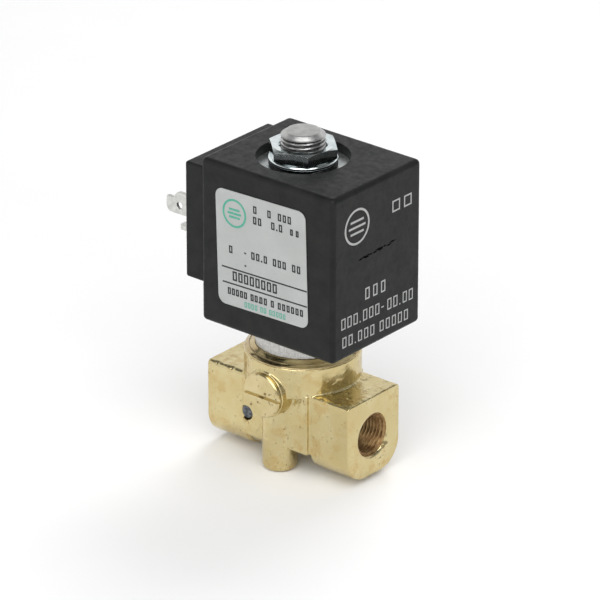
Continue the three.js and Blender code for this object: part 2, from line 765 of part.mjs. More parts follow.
// A hexagon trimmed by a cone at each end, which leaves the curved chamfer of a real nut.
function coilNut() {
  const corner = NUT_ACROSS_FLATS / 2 / Math.cos(Math.PI / 6);
  const flat = NUT_ACROSS_FLATS / 2;
  const chamferDrop = (corner - flat) * 0.42;
  const prism = new THREE.CylinderGeometry(corner, corner, NUT_TOP - NUT_BOTTOM, 6);
  prism.rotateX(Math.PI / 2).rotateZ(THREE.MathUtils.degToRad(NUT_ANGLE + 90));
  prism.translate(0, 0, (NUT_TOP + NUT_BOTTOM) / 2);
  const envelope = turned([
    [0, NUT_BOTTOM],
    [flat, NUT_BOTTOM],
    [corner + 0.1, NUT_BOTTOM + chamferDrop],
    [corner + 0.1, NUT_TOP - chamferDrop],
    [flat, NUT_TOP],
    [0, NUT_TOP],
  ], 48);
  const bore = turned([
    [0, NUT_BOTTOM - 1],
    [TUBE_RADIUS, NUT_BOTTOM - 1],
    [TUBE_RADIUS, NUT_TOP - 0.6],
    [TUBE_RADIUS + 1.1, NUT_TOP + 0.5],
    [0, NUT_TOP + 0.5],
  ], 40);
  return cut(solid(prism).intersect(solid(envelope)), solid(bore));
}

const OVERRIDE_GROOVE = { y0: -12.6, y1: -11.0, radius: 1.5 };

// The slotted head, its sealed stem and the eccentric nub that reaches under the plunger's shoulder.
function overrideScrew() {
  const faceEdge = 0.3;
  const outline = [
    [0, OVERRIDE_FACE_Y],
    [OVERRIDE_HEAD_RADIUS - faceEdge, OVERRIDE_FACE_Y],
    [OVERRIDE_HEAD_RADIUS, OVERRIDE_FACE_Y + faceEdge],
    [OVERRIDE_HEAD_RADIUS, OVERRIDE_HEAD_BACK_Y],
    [OVERRIDE_STEM_RADIUS, OVERRIDE_HEAD_BACK_Y],
    [OVERRIDE_STEM_RADIUS, OVERRIDE_GROOVE.y0],
    [OVERRIDE_GROOVE.radius, OVERRIDE_GROOVE.y0],
    [OVERRIDE_GROOVE.radius, OVERRIDE_GROOVE.y1],
    [OVERRIDE_STEM_RADIUS, OVERRIDE_GROOVE.y1],
    [OVERRIDE_STEM_RADIUS, OVERRIDE_STEP_Y],
    [OVERRIDE_TIP_RADIUS, OVERRIDE_STEP_Y],
    [OVERRIDE_TIP_RADIUS, -6.95],
    [1.2, -6.95],
    [1.2, -6.45],
    [OVERRIDE_TIP_RADIUS, -6.45],
    [OVERRIDE_TIP_RADIUS, OVERRIDE_TIP_Y],
    [0, OVERRIDE_TIP_Y],
  ];
  const turnedScrew = solid(turnAxis(turned(outline, 32), AXIS_Y));
  const nub = rod(0.5, OVERRIDE_TIP_Y - 0.5, -3.75, AXIS_Y, 12).translate([0, 0, -1.0]);
  const slot = box(
    -OVERRIDE_HEAD_RADIUS - 1,
    OVERRIDE_HEAD_RADIUS + 1,
    OVERRIDE_FACE_Y - 1,
    OVERRIDE_FACE_Y + OVERRIDE_SLOT_DEPTH,
    -OVERRIDE_SLOT_WIDTH / 2,
    OVERRIDE_SLOT_WIDTH / 2,
  );
  return cut(join(turnedScrew, nub), slot).translate([0, 0, OVERRIDE_Z]);
}

function overrideSealRing() {
  const thickness = 0.42;
  const middle = (OVERRIDE_GROOVE.y0 + OVERRIDE_GROOVE.y1) / 2;
  const mean = OVERRIDE_GROOVE.radius + thickness + 0.03;
  const geometry = new THREE.TorusGeometry(mean, thickness, 6, 20);
  return turnAxis(geometry, AXIS_Y).translate(0, middle, OVERRIDE_Z);
}

// The open clip that snaps into the stem's inner groove and keeps the pressure from pushing it out.
function overrideClip() {
  const gapHalfWidth = 0.9;
  const washer = solid(turnAxis(ring(1.25, 2.3, -6.9, -6.5, 28), AXIS_Y));
  const gap = box(-gapHalfWidth, gapHalfWidth, -8, -5, 0, 3);
  return cut(washer, gap).translate([0, 0, OVERRIDE_Z]);
}

// ---- Assembly -------------------------------------------------------------------------------------

const valve = new THREE.Group();
const coilGroup = new THREE.Group();
const plungerGroup = new THREE.Group();
const overrideGroup = new THREE.Group();
valve.add(coilGroup, plungerGroup, overrideGroup);

valve.add(
  piece("valve_body", valveBody(), BRASS),
  piece("passage_plug", passagePlug(), STAINLESS),
  piece("body_o_ring", bodySealRing(), RUBBER),
  piece("guide_collar", guideCollar(), STAINLESS),
  piece("armature_tube", armatureTube(), STAINLESS),
  piece("fixed_core", fixedCore(), STAINLESS),
  piece("shading_ring", shadingRing(), COPPER),
  piece("wave_washer", waveWasher(), SPRING_STEEL),
  piece("flat_washer", flatWasher(), ZINC),
  piece("coil_nut", coilNut(), ZINC),
);

plungerGroup.add(
  piece("plunger", plunger(), STAINLESS),
  piece("plunger_seal", plungerSeal(), RUBBER),
  piece("plunger_spring", plungerSpring(), SPRING_STEEL),
);

coilGroup.add(
  piece("coil_housing", coilHousing(), BLACK_PLASTIC),
  piece("coil_bobbin", coilBobbin(), PALE_PLASTIC),
  piece("coil_winding", coilWinding(), COPPER),
  piece("yoke_frame", yokeFrame(), ZINC),
  piece("line_terminal_front", lineTerminal(-CONTACT_SPACING / 2), TINNED),
  piece("line_terminal_rear", lineTerminal(CONTACT_SPACING / 2), TINNED),
  piece("ground_terminal", groundTerminal(), TINNED),
  piece("connector_insert", connectorInsert(), BRASS),
  piece("coil_label", coilLabel(), LABEL_FILM),
);

overrideGroup.add(
  piece("override_screw", overrideScrew(), BRASS),
  piece("override_o_ring", overrideSealRing(), RUBBER),
  piece("override_clip", overrideClip(), SPRING_STEEL),
);

export default valve;
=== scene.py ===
"""Looks of the solenoid valve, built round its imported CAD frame.

Everything is in metres, in the frame's own axes: +Z up along the stem, the outlet at +X, and the label
and the override screw on the -Y side. Lengths written in millimetres are turned into metres by MM.
"""

import math

import bmesh
import bpy
from mathutils import Matrix, Vector


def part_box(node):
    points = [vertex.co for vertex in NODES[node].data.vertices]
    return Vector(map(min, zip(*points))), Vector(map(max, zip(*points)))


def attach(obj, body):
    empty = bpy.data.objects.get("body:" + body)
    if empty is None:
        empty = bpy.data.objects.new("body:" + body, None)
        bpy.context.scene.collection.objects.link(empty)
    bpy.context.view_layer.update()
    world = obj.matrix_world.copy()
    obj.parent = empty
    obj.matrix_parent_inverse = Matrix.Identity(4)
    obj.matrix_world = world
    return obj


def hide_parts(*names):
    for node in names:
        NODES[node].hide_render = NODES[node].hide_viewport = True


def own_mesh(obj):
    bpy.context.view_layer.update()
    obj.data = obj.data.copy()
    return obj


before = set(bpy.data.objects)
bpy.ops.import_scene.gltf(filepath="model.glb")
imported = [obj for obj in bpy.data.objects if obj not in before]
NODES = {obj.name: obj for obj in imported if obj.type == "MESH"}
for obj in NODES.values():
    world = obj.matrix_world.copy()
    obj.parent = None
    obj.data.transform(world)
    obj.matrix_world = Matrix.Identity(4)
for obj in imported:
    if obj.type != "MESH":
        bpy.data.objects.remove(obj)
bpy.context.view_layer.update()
MM = 0.001


# ---- Materials ----------------------------------------------------------------------------------


class Finish:
    """A material, with short calls for the nodes that the finishes share."""

    def __init__(self, name, **sockets):
        self.material = bpy.data.materials.new(name)
        self.material.use_nodes = True
        self.tree = self.material.node_tree
        self.shader = self.tree.nodes["Principled BSDF"]
        self.coordinates = self.tree.nodes.new("ShaderNodeTexCoord").outputs["Object"]
        for label, value in sockets.items():
            self.shader.inputs[label.replace("_", " ")].default_value = value

    def link(self, output, node, name):
        self.tree.links.new(output, node.inputs[name])

    def noise(self, size_mm, detail=3.0, stretch=(1, 1, 1), roughness=0.55):
        """Cloudy noise whose patches are about size_mm across, longer along an axis with a small stretch."""
        mapping = self.tree.nodes.new("ShaderNodeMapping")
        mapping.inputs["Scale"].default_value = stretch
        self.link(self.coordinates, mapping, "Vector")
        node = self.tree.nodes.new("ShaderNodeTexNoise")
        node.inputs["Scale"].default_value = 1 / (size_mm * MM)
        node.inputs["Detail"].default_value = detail
        node.inputs["Roughness"].default_value = roughness
        self.link(mapping.outputs["Vector"], node, "Vector")
        return node.outputs["Fac"]

    def between(self, factor, start, end, low=0.0, high=1.0):
        """factor from start to end, turned into a value from low to high and held there."""
        node = self.tree.nodes.new("ShaderNodeMapRange")
        self.link(factor, node, "Value")
        node.inputs["From Min"].default_value = start
        node.inputs["From Max"].default_value = end
        node.inputs["To Min"].default_value = low
        node.inputs["To Max"].default_value = high
        return node.outputs["Result"]

    def math(self, operation, first, second):
        """Two values combined by a math operation. Each is a number or another node's output."""
        node = self.tree.nodes.new("ShaderNodeMath")
        node.operation = operation
        for index, value in enumerate((first, second)):
            if isinstance(value, float):
                node.inputs[index].default_value = value
            else:
                self.tree.links.new(value, node.inputs[index])
        return node.outputs["Value"]

    def blend(self, factor, first, second):
        """A colour from first to second. Each is a colour or another blend's output."""
        node = self.tree.nodes.new("ShaderNodeMix")
        node.data_type = "RGBA"
        self.tree.links.new(factor, node.inputs[0])
        for index, value in ((6, first), (7, second)):
            if isinstance(value, tuple):
                node.inputs[index].default_value = (*value, 1.0)
            else:
                self.tree.links.new(value, node.inputs[index])
        return node.outputs[2]

    def color(self, output):
        self.link(output, self.shader, "Base Color")

    def roughness(self, output):
        self.link(output, self.shader, "Roughness")

    def bumps(self, *layers):
        """Each layer is a height and its full depth in millimetres."""
        normal = None
        for height, depth_mm in layers:
            node = self.tree.nodes.new("ShaderNodeBump")
            node.inputs["Strength"].default_value = 1.0
            node.inputs["Distance"].default_value = depth_mm * MM
            self.link(height, node, "Height")
            if normal is not None:
                self.link(normal, node, "Normal")
            normal = node.outputs["Normal"]
        self.link(normal, self.shader, "Normal")


def forged_brass():
    """Tumbled forging: pale yellow, half polished and wavy, with scuffed patches, nicks and brown specks."""
    f = Finish("forged_brass", Metallic=1.0)
    cloud = f.noise(8.0, detail=4.0)
    tone = f.blend(f.between(cloud, 0.35, 0.65), (0.59, 0.483, 0.240), (0.65, 0.555, 0.308))
    bloom = f.between(f.noise(3.2, detail=3.0, roughness=0.6), 0.52, 0.66, 0.0, 0.6)
    tone = f.blend(bloom, tone, (0.55, 0.39, 0.16))
    scuffed = f.between(f.noise(4.0, detail=2.0), 0.50, 0.60)
    specks = f.between(f.noise(0.50, detail=4.0, stretch=(1.0, 1.0, 0.6), roughness=0.7), 0.60, 0.66)
    stain = f.math("MULTIPLY", scuffed, specks)
    tone = f.blend(stain, tone, (0.20, 0.13, 0.05))
    f.color(tone)
    rough = f.between(f.noise(1.6, detail=4.0), 0.3, 0.7, 0.15, 0.28)
    f.roughness(f.math("ADD", rough, f.math("MULTIPLY", stain, 0.25)))
    waves = f.noise(4.0, detail=2.0)
    crinkles = f.math("MULTIPLY", scuffed, f.noise(1.0, detail=4.0, roughness=0.65))
    grain = f.noise(0.16, detail=2.0)
    f.bumps((waves, 0.12), (crinkles, 0.06), (stain, -0.02), (grain, 0.003))
    return f.material


def turned_brass():
    """Machined brass: a little brighter than the forging, with small dents and grime in them."""
    f = Finish("turned_brass", Metallic=1.0)
    cloud = f.noise(5.0, detail=4.0)
    tone = f.blend(f.between(cloud, 0.35, 0.65), (0.58, 0.475, 0.238), (0.66, 0.556, 0.315))
    dents = f.between(f.noise(1.5, detail=3.5, roughness=0.66), 0.32, 0.40)
    tone = f.blend(dents, (0.20, 0.13, 0.05), tone)
    f.color(tone)
    f.roughness(f.between(f.noise(0.9, detail=3.0), 0.3, 0.7, 0.14, 0.26))
    f.bumps((dents, 0.06), (f.noise(0.12, detail=2.0), 0.002))
    return f.material


def lip_brass_painted_reflection():
    """The machined lip under the coil: polished, with the dark coil's reflection painted into it as a brown
    tone.
    """
    f = Finish("lip_brass_painted_reflection", Metallic=1.0)
    cloud = f.noise(3.0, detail=3.0)
    # The darker brown tones are a painted reflection of the coil's dark underside.
    f.color(f.blend(f.between(cloud, 0.35, 0.65), (0.42, 0.32, 0.17), (0.56, 0.45, 0.25)))
    f.roughness(f.between(f.noise(0.9, detail=3.0), 0.3, 0.7, 0.14, 0.24))
    f.bumps((f.noise(0.12, detail=2.0), 0.002))
    return f.material


def port_brass():
    """The threads' flanks: cut brass darkened by oil and shade."""
    f = Finish("port_brass", Metallic=1.0)
    cloud = f.noise(1.2, detail=3.0)
    f.color(f.blend(f.between(cloud, 0.3, 0.7), (0.20, 0.11, 0.045), (0.40, 0.26, 0.12)))
    f.roughness(f.between(f.noise(0.5), 0.3, 0.7, 0.36, 0.52))
    f.bumps((f.noise(0.2), 0.004))
    return f.material


def collar_steel():
    """Stainless collar: mottled by polishing, with fine streaks up its side."""
    f = Finish("collar_steel", Metallic=1.0)
    mottle = f.noise(0.55, detail=4.0, roughness=0.75)
    streak = f.noise(0.30, detail=3.0, stretch=(1.0, 1.0, 0.10))
    mixed = f.math("ADD", f.math("MULTIPLY", mottle, 0.75), f.math("MULTIPLY", streak, 0.25))
    f.color(f.blend(f.between(mixed, 0.38, 0.62), (0.40, 0.395, 0.38), (0.66, 0.655, 0.635)))
    f.roughness(f.between(mottle, 0.3, 0.7, 0.30, 0.48))
    f.bumps((streak, 0.006), (mottle, 0.012))
    return f.material


def stem_steel():
    """Turned stainless steel, satin, with fine rings across it."""
    f = Finish("stem_steel", Metallic=1.0)
    cloud = f.noise(1.8, detail=4.0)
    f.color(f.blend(f.between(cloud, 0.35, 0.65), (0.47, 0.47, 0.464), (0.59, 0.59, 0.583)))
    f.roughness(f.between(f.noise(0.4, detail=3.0), 0.3, 0.7, 0.30, 0.46))
    lines = f.noise(0.10, detail=1.0, stretch=(0.12, 0.12, 1.0))
    f.bumps((lines, 0.004), (f.noise(0.35, detail=3.0), 0.006))
    return f.material


def zinc_plate():
    """Bright zinc plating: bluish, glossy, a little cloudy and pitted."""
    f = Finish("zinc_plate", Metallic=1.0)
    cloud = f.noise(2.4, detail=4.0)
    tone = f.blend(f.between(cloud, 0.35, 0.65), (0.60, 0.67, 0.68), (0.76, 0.81, 0.81))
    f.color(tone)
    f.roughness(f.between(f.noise(0.9, detail=3.0), 0.3, 0.7, 0.10, 0.17))
    f.bumps((f.noise(1.6, detail=2.0), 0.006), (f.noise(0.3, detail=2.0), 0.001))
    return f.material


def satin_zinc():
    """Zinc plating on the bent steel strap: duller than the nut's, and scuffed."""
    f = Finish("satin_zinc", Metallic=1.0)
    f.color(f.blend(f.between(f.noise(2.0, detail=4.0), 0.35, 0.65), (0.62, 0.68, 0.68), (0.80, 0.83, 0.82)))
    f.roughness(f.between(f.noise(0.8, detail=4.0), 0.3, 0.7, 0.34, 0.48))
    f.bumps((f.noise(0.5, detail=3.0), 0.008))
    return f.material


def dark_steel(name, dark, light, gloss):
    """Blued or oiled steel, between two tones; in the thread grooves the dark tone is painted shade."""
    f = Finish(name, Metallic=1.0)
    f.color(f.blend(f.between(f.noise(0.8, detail=4.0), 0.35, 0.65), dark, light))
    f.roughness(f.between(f.noise(0.4), 0.3, 0.7, gloss, gloss + 0.15))
    f.bumps((f.noise(0.5, detail=3.0), 0.015))
    return f.material


def coil_plastic():
    """Moulded black thermoplastic: semi matte, with a fine eroded grain and dust-pale specks."""
    f = Finish("coil_plastic", Specular_IOR_Level=0.20)
    cloud = f.noise(5.0, detail=5.0, roughness=0.65)
    tone = f.blend(f.between(cloud, 0.35, 0.65), (0.0060, 0.0072, 0.0066), (0.0135, 0.0140, 0.0130))
    speck = f.between(f.noise(0.22, detail=3.0, roughness=0.7), 0.70, 0.76)
    f.color(f.blend(speck, tone, (0.045, 0.045, 0.042)))
    f.roughness(f.between(f.noise(1.3, detail=4.0), 0.3, 0.7, 0.34, 0.52))
    grain = f.noise(0.13, detail=3.0, roughness=0.6)
    waves = f.noise(9.0, detail=1.0)
    f.bumps((waves, 0.05), (grain, 0.009))
    return f.material


def bobbin_plastic():
    """Cream-coloured moulded plastic, matt and a little mottled."""
    f = Finish("bobbin_plastic")
    f.color(f.blend(f.between(f.noise(3.0), 0.3, 0.7), (0.60, 0.56, 0.46), (0.72, 0.69, 0.60)))
    f.roughness(f.between(f.noise(0.6), 0.3, 0.7, 0.45, 0.6))
    f.bumps((f.noise(0.3), 0.01))
    return f.material


def copper_wire():
    """Layers of enamelled wire: rounded turns stacked along the stem, painted darker between turns and
    lighter on their crests as painted shade and highlight.
    """
    f = Finish("copper_wire", Metallic=1.0, Coat_Weight=0.5, Coat_Roughness=0.15)
    wave = f.tree.nodes.new("ShaderNodeTexWave")
    wave.bands_direction = "Z"
    wave.inputs["Scale"].default_value = 1 / (0.25 * MM) / math.tau * 2
    f.link(f.coordinates, wave, "Vector")
    turns = wave.outputs["Fac"]
    # The banded colour is painted shade between the turns and painted highlight on their crests.
    f.color(f.blend(turns, (0.30, 0.10, 0.04), (0.80, 0.40, 0.22)))
    f.roughness(f.between(f.noise(0.5), 0.3, 0.7, 0.25, 0.4))
    f.bumps((turns, 0.05))
    return f.material


def tinned_brass():
    """The tin plating of the stamped contact blades, slightly dull."""
    f = Finish("tinned_brass", Metallic=1.0)
    cloud = f.noise(1.2, detail=4.0)
    f.color(f.blend(f.between(cloud, 0.35, 0.65), (0.56, 0.56, 0.54), (0.72, 0.72, 0.69)))
    f.roughness(f.between(f.noise(0.4, detail=3.0), 0.3, 0.7, 0.26, 0.42))
    f.bumps((f.noise(0.6, detail=3.0), 0.02), (f.noise(0.12), 0.003))
    return f.material


def label_film():
    """Matt silver-grey polyester film, with faint cloudiness and specks of dust."""
    f = Finish("label_film", Specular_IOR_Level=0.4)
    cloud = f.noise(6.0, detail=5.0)
    tone = f.blend(f.between(cloud, 0.35, 0.65), (0.390, 0.405, 0.393), (0.425, 0.437, 0.428))
    dust = f.between(f.noise(0.35, detail=4.0, roughness=0.75), 0.68, 0.75)
    f.color(f.blend(dust, tone, (0.29, 0.30, 0.29)))
    f.roughness(f.between(f.noise(0.8, detail=4.0), 0.3, 0.7, 0.38, 0.52))
    f.bumps((f.noise(5.0, detail=1.0), 0.02), (f.noise(0.15), 0.002))
    return f.material


def ink(name, light, dark, break_up=0.30):
    """Printed ink that is thin, and so nearer the light tone, in places."""
    f = Finish(name, Specular_IOR_Level=0.4)
    worn = f.between(f.noise(0.30, detail=4.0, roughness=0.7), break_up, break_up + 0.12)
    f.color(f.blend(worn, light, dark))
    f.roughness(f.between(f.noise(0.3), 0.3, 0.7, 0.4, 0.55))
    return f.material


def rub_mark():
    """Grime rubbed into the plastic: darker than it, with no shine."""
    f = Finish("rub_mark", Specular_IOR_Level=0.02)
    f.color(f.blend(f.between(f.noise(0.3), 0.3, 0.7), (0.0008, 0.0008, 0.0008), (0.004, 0.004, 0.004)))
    f.roughness(f.between(f.noise(0.2), 0.3, 0.7, 0.75, 0.95))
    return f.material


def seal_rubber():
    """Black moulded rubber, matt with a fine grain."""
    f = Finish("seal_rubber", Specular_IOR_Level=0.4)
    f.color(f.blend(f.between(f.noise(1.0), 0.3, 0.7), (0.012, 0.012, 0.012), (0.024, 0.024, 0.023)))
    f.roughness(f.between(f.noise(0.4), 0.3, 0.7, 0.55, 0.75))
    f.bumps((f.noise(0.2), 0.008))
    return f.material


def studio_floor():
    """The plain pale floor, barely uneven in tone."""
    f = Finish("studio_floor", Specular_IOR_Level=0.2)
    f.color(f.blend(f.between(f.noise(60.0), 0.3, 0.7), (0.93, 0.93, 0.93), (0.95, 0.95, 0.95)))
    f.shader.inputs["Roughness"].default_value = 0.8
    return f.material


SPRING_STEEL = dark_steel("spring_steel", (0.05, 0.052, 0.055), (0.13, 0.13, 0.13), 0.30)
PLUG_STEEL = dark_steel("plug_steel", (0.05, 0.055, 0.065), (0.20, 0.21, 0.22), 0.26)
# Dark steel for the stud's thread grooves: painted shade.
GROOVE_SHADE_STEEL = dark_steel("groove_shade_steel", (0.10, 0.10, 0.098), (0.19, 0.19, 0.186), 0.34)
FORGED_BRASS = forged_brass()
TURNED_BRASS = turned_brass()
LIP_BRASS_PAINTED_REFLECTION = lip_brass_painted_reflection()
PORT_BRASS = port_brass()
COLLAR_STEEL = collar_steel()
STEM_STEEL = stem_steel()
ZINC_PLATE = zinc_plate()
SATIN_ZINC = satin_zinc()
COIL_PLASTIC = coil_plastic()
BOBBIN_PLASTIC = bobbin_plastic()
COPPER_WIRE = copper_wire()
TINNED_BRASS = tinned_brass()
LABEL_FILM = label_film()
SEAL_RUBBER = seal_rubber()
BLACK_INK = ink("black_ink", (0.060, 0.062, 0.060), (0.012, 0.013, 0.013))
GREEN_INK = ink("green_ink", (0.30, 0.48, 0.41), (0.07, 0.35, 0.25))
GREY_INK = ink("grey_ink", (0.20, 0.20, 0.20), (0.42, 0.43, 0.42))
RUB_MARK = rub_mark()


# ---- Mesh helpers -------------------------------------------------------------------------------


def add_piece(name, mesh, material, body):
    """A mesh as a shown piece that rides on a CAD body."""
    piece = bpy.data.objects.new(name, mesh)
    bpy.context.scene.collection.objects.link(piece)
    mesh.materials.clear()
    mesh.materials.append(material)
    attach(piece, body)
    return piece


def smooth_shading(mesh, angle_deg=35.0):
    """Smooth faces, with edges sharper than the angle left sharp."""
    for polygon in mesh.polygons:
        polygon.use_smooth = True
    mesh.set_sharp_from_angle(angle=math.radians(angle_deg))


def apply_modifiers(piece):
    depsgraph = bpy.context.evaluated_depsgraph_get()
    mesh = bpy.data.meshes.new_from_object(piece.evaluated_get(depsgraph))
    piece.modifiers.clear()
    piece.data = mesh
    return mesh


def node_mesh(node):
    """A copy of a CAD node's mesh with its flat faces merged."""
    shell = bmesh.new()
    shell.from_mesh(NODES[node].data)
    bmesh.ops.remove_doubles(shell, verts=shell.verts, dist=0.002 * MM)
    bmesh.ops.dissolve_limit(
        shell, angle_limit=math.radians(0.6), verts=shell.verts, edges=shell.edges
    )
    mesh = bpy.data.meshes.new(node + "_rounded")
    shell.to_mesh(mesh)
    shell.free()
    return mesh


ROUNDED_EDGE_ANGLE = math.radians(32)


def rounded_node(node, body, material, width_mm, segments=2, sharp_angle_deg=40.0):
    """A CAD node with its sharp edges rounded and its flat faces kept flat, standing for that node."""
    piece = add_piece(node + "_rounded", node_mesh(node), material, body)
    bevel = piece.modifiers.new("edge_rounding", "BEVEL")
    bevel.width = width_mm * MM
    bevel.segments = segments
    bevel.limit_method = "ANGLE"
    bevel.angle_limit = ROUNDED_EDGE_ANGLE
    bevel.use_clamp_overlap = True
    smooth_shading(apply_modifiers(piece), sharp_angle_deg)
    level = piece.modifiers.new("flat_faces_stay_flat", "WEIGHTED_NORMAL")
    level.keep_sharp = True
    apply_modifiers(piece)
    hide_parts(node)
    return piece


def revolved(name, rings, segments, place=Matrix.Identity(4)):
    """A mesh from rings round Z. Each ring is a function of the angle that gives (radius, height) in mm.

    The rings make a tube whose two ends are closed to the axis, or to each other where the profile
    returns to its start.
    """
    shell = bmesh.new()
    loops = []
    for ring in rings:
        loop = []
        for step in range(segments):
            angle = math.tau * step / segments
            radius, height = ring(angle)
            spot = (radius * math.cos(angle) * MM, radius * math.sin(angle) * MM, height * MM)
            loop.append(shell.verts.new(place @ Vector(spot)))
        loops.append(loop)
    for lower, upper in zip(loops, loops[1:]):
        for step in range(segments):
            after = (step + 1) % segments
            shell.faces.new((lower[step], lower[after], upper[after], upper[step]))
    shell.faces.new(tuple(reversed(loops[0])))
    shell.faces.new(tuple(loops[-1]))
    bmesh.ops.recalc_face_normals(shell, faces=shell.faces)
    mesh = bpy.data.meshes.new(name)
    shell.to_mesh(mesh)
    shell.free()
    return mesh


def closed_ring(name, rings, segments, place=Matrix.Identity(4)):
    """A revolved ring whose last profile point is its first, with the doubled loop welded."""
    mesh = revolved(name, rings, segments, place)
    shell = bmesh.new()
    shell.from_mesh(mesh)
    caps = [face for face in shell.faces if len(face.verts) == segments]
    bmesh.ops.delete(shell, geom=caps, context="FACES_ONLY")
    bmesh.ops.remove_doubles(shell, verts=shell.verts, dist=0.001 * MM)
    bmesh.ops.recalc_face_normals(shell, faces=shell.faces)
    shell.to_mesh(mesh)
    shell.free()
    return mesh


def plain_ring(radius, height):
    """A level circle."""
    return lambda angle: (radius, height)


THREAD_STEPS_PER_TURN = 8
CREST_FLAT_SHARE = 0.10


def thread_rings(major, minor, pitch, start, end, fade):
    """Rings that trace a helical thread from start to end, running out over fade turns at both ends."""
    count = round((end - start) / pitch * THREAD_STEPS_PER_TURN)
    rings = []
    for index in range(count + 1):
        height = start + (end - start) * index / count

        def ring(angle, height=height):
            phase = (height / pitch - angle / math.tau) % 1.0
            crest = 1.0 - abs(2.0 * phase - 1.0)
            crest = (crest - CREST_FLAT_SHARE) / (1.0 - 2.0 * CREST_FLAT_SHARE)
            crest = min(1.0, max(0.0, crest))
            depth = min(1.0, (height - start) / (fade * pitch), (end - height) / (fade * pitch))
            return (major - (major - minor) * (1.0 - crest) * max(0.0, depth), height)

        rings.append(ring)
    return rings


# ---- Brass body ---------------------------------------------------------------------------------

PORT_Z = 10.76
PORT_FACE_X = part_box("valve_body")[1].x / MM
PORT_MAJOR_RADIUS = 4.80
PORT_MINOR_RADIUS = 4.283
PORT_PITCH = 0.907
PORT_SLEEVE_RADIUS = 4.93
PORT_CHAMFER = 0.50
PORT_INNER_END = 10.3
VOXEL = 0.20 * MM
BODY_SHARE_KEPT = 0.28
LIP_SEAT = 26.7
SURFACE_WAVE = 0.9
SURFACE_DEPTH = 0.05

# Knocks in the forging: a place on its surface, then the dent's radius and depth, in mm.
DENTS = [
    (20.15, 4.4, 7.7, 1.0, 0.45), (20.15, 3.6, 6.9, 0.7, 0.30), (-1.9, -9.8, 13.6, 1.1, 0.40),
    (-3.4, -9.8, 12.9, 0.9, 0.35), (-8.1, -9.6, 8.7, 0.9, 0.40), (-9.5, -8.95, 13.0, 1.0, 0.35),
    (-14.6, -8.95, 16.4, 1.3, 0.18), (-16.4, -8.95, 14.0, 0.9, 0.15), (12.9, -8.95, 19.9, 1.2, 0.25),
    (16.6, -4.2, 20.25, 0.8, 0.15), (14.9, -2.6, 20.25, 0.6, 0.15), (-0.6, -11.8, 8.2, 0.7, 0.15),
    (1.9, -11.2, 5.1, 0.6, 0.15), (-13.2, -8.6, 20.0, 0.9, 0.20), (-17.5, -8.6, 20.0, 0.7, 0.15),
    (9.2, 9.8, 15.0, 1.0, 0.25), (-15.0, 8.95, 12.0, 1.2, 0.20), (20.0, -7.2, 19.4, 0.7, 0.15),
]


def press_dents(mesh):
    """Pushes the surface in round each dent's place, deepest in its middle."""
    shifts = []
    for x, y, z, radius, depth in DENTS:
        place = Vector((x, y, z)) * MM
        for vertex in mesh.vertices:
            share = 1.0 - ((vertex.co - place).length / (radius * MM)) ** 2
            if share > 0:
                shifts.append((vertex, vertex.normal * (-depth * MM * share * share)))
    for vertex, shift in shifts:
        vertex.co += shift


def forged_body():
    """The body with every edge softened, as a forging's are: remeshed finely, relaxed, then thinned out.

    The boss ends in a flat seat, on which the machined lip stands as its own piece.
    """
    mesh = NODES["valve_body"].data.copy()
    for vertex in mesh.vertices:
        vertex.co.z = min(vertex.co.z, LIP_SEAT * MM)
    body = add_piece("valve_body_forged", mesh, FORGED_BRASS, "valve")
    remesh = body.modifiers.new("remesh", "REMESH")
    remesh.mode = "VOXEL"
    remesh.voxel_size = VOXEL
    relax = body.modifiers.new("relax", "SMOOTH")
    relax.factor = 0.5
    relax.iterations = 7
    clouds = bpy.data.textures.new("forging_waves", "CLOUDS")
    clouds.noise_scale = SURFACE_WAVE * MM
    waves = body.modifiers.new("waves", "DISPLACE")
    waves.texture = clouds
    waves.texture_coords = "LOCAL"
    waves.strength = SURFACE_DEPTH * MM
    waves.mid_level = 1.0
    press_dents(apply_modifiers(body))
    thin = body.modifiers.new("thin", "DECIMATE")
    thin.ratio = BODY_SHARE_KEPT
    smooth_shading(apply_modifiers(body), 50.0)
    body.data.materials.clear()
    body.data.materials.append(FORGED_BRASS)
    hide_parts("valve_body")


def boss_lip():
    """The machined ring on top of the boss: a shallow bevel, a fine groove and a slope up to the collar."""
    outline = [
        (10.10, 26.30), (12.60, 26.30), (12.86, 26.55), (12.90, 26.74), (12.82, 26.86), (12.70, 26.93),
        (12.12, 27.24), (12.06, 27.32), (11.98, 27.38), (11.88, 27.38), (11.80, 27.30), (11.72, 27.30),
        (11.64, 27.38), (11.56, 27.44), (10.95, 27.86), (10.86, 27.96), (10.78, 28.02), (10.70, 28.05),
        (10.10, 28.05),
    ]
    rings = [plain_ring(radius, height) for radius, height in [*outline, outline[0]]]
    mesh = closed_ring("boss_lip", rings, 128)
    smooth_shading(mesh, 50.0)
    return add_piece("boss_lip", mesh, LIP_BRASS_PAINTED_REFLECTION, "valve")


def port_thread(name, side):
    """The G1/8 thread in a port: a sleeve in the bore with the helix cut in its inner side."""
    mouth = PORT_FACE_X - PORT_CHAMFER
    rings = [plain_ring(PORT_SLEEVE_RADIUS, mouth), plain_ring(PORT_SLEEVE_RADIUS, PORT_INNER_END)]
    rings += thread_rings(PORT_MAJOR_RADIUS, PORT_MINOR_RADIUS, PORT_PITCH, PORT_INNER_END, mouth, 0.6)
    rings += [plain_ring(PORT_SLEEVE_RADIUS, mouth)]
    turn = Vector((0, 0, 1)).rotation_difference(Vector((side, 0, 0))).to_matrix().to_4x4()
    place = Matrix.Translation((0, 0, PORT_Z * MM)) @ turn
    mesh = closed_ring(name, rings, 96, place)
    smooth_shading(mesh, 60.0)
    return add_piece(name, mesh, PORT_BRASS, "valve")


forged_body()
boss_lip()
port_thread("outlet_thread", 1)
port_thread("inlet_thread", -1)


# ---- Stem, washers and nut ------------------------------------------------------------------------


